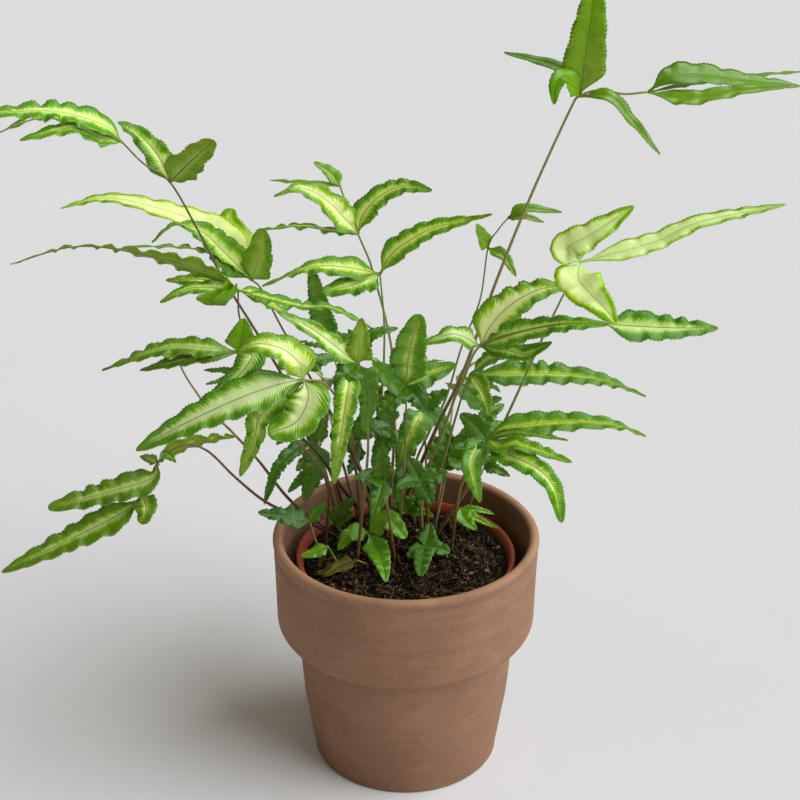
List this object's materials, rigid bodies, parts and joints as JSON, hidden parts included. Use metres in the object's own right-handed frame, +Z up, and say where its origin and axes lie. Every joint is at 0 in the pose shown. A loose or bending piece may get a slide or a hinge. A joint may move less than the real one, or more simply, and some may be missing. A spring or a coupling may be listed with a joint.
{
  "type": "potted brake fern",
  "caption": "Brake fern with long crisped, pale-banded leaflets on wiry stalks, growing from dark soil in a nursery pot that stands inside a collared clay pot.",
  "frame": {"origin": "centre of the clay pot's bottom face, on the surface that the pot stands on", "axes": "+Z up; -Y towards the viewer's side of the plant; +X to that viewer's right"},
  "size_m": [0.3932, 0.2442, 0.4294],
  "materials": {
    "clay": "unglazed, matte, brown",
    "nursery_plastic": "thin orange-red plastic, slightly satin",
    "peat": "dark peat with pale fibres, rough",
    "fern_green": "leathery green leaflet with a pale yellow-green band, slightly glossy",
    "fern_withered": "dry brown leaflet, matte"
  },
  "bodies": {
    "root": {"clay_pot": "clay", "nursery_pot": "nursery_plastic", "soil": "peat", "frond_far_left": "fern_green", "frond_left_back": "fern_green", "frond_left_long": "fern_green", "frond_left_middle": "fern_green", "frond_left_inner": "fern_green", "frond_front_left": "fern_green", "frond_low_left": "fern_green", "frond_top_middle": "fern_green", "frond_upper_middle": "fern_green", "frond_dark_back": "fern_green", "frond_tall_right": "fern_green", "frond_small_top_right": "fern_green", "frond_right_pale": "fern_green", "frond_right_upper": "fern_green", "frond_right_middle": "fern_green", "frond_right_lower": "fern_green", "frond_right_small": "fern_green", "frond_middle": "fern_green", "frond_middle_left": "fern_green", "frond_inner_left": "fern_green", "frond_rim_left": "fern_green", "frond_low_middle_left": "fern_green", "frond_low_middle": "fern_green", "frond_low_front": "fern_green", "frond_low_right": "fern_green", "frond_low_left_small": "fern_green", "frond_rim_front_left": "fern_green", "frond_withered": "fern_withered", "frond_core_left": "fern_green", "frond_core_right": "fern_green", "frond_core_low": "fern_green", "frond_core_low_right": "fern_green", "frond_core_back": "fern_green", "frond_core_back_left": "fern_green", "frond_core_front_left": "fern_green", "frond_back_left": "fern_green", "frond_back_middle": "fern_green", "frond_back_right": "fern_green", "frond_side_right": "fern_green", "frond_side_left": "fern_green"}
  },
  "joints": []
}
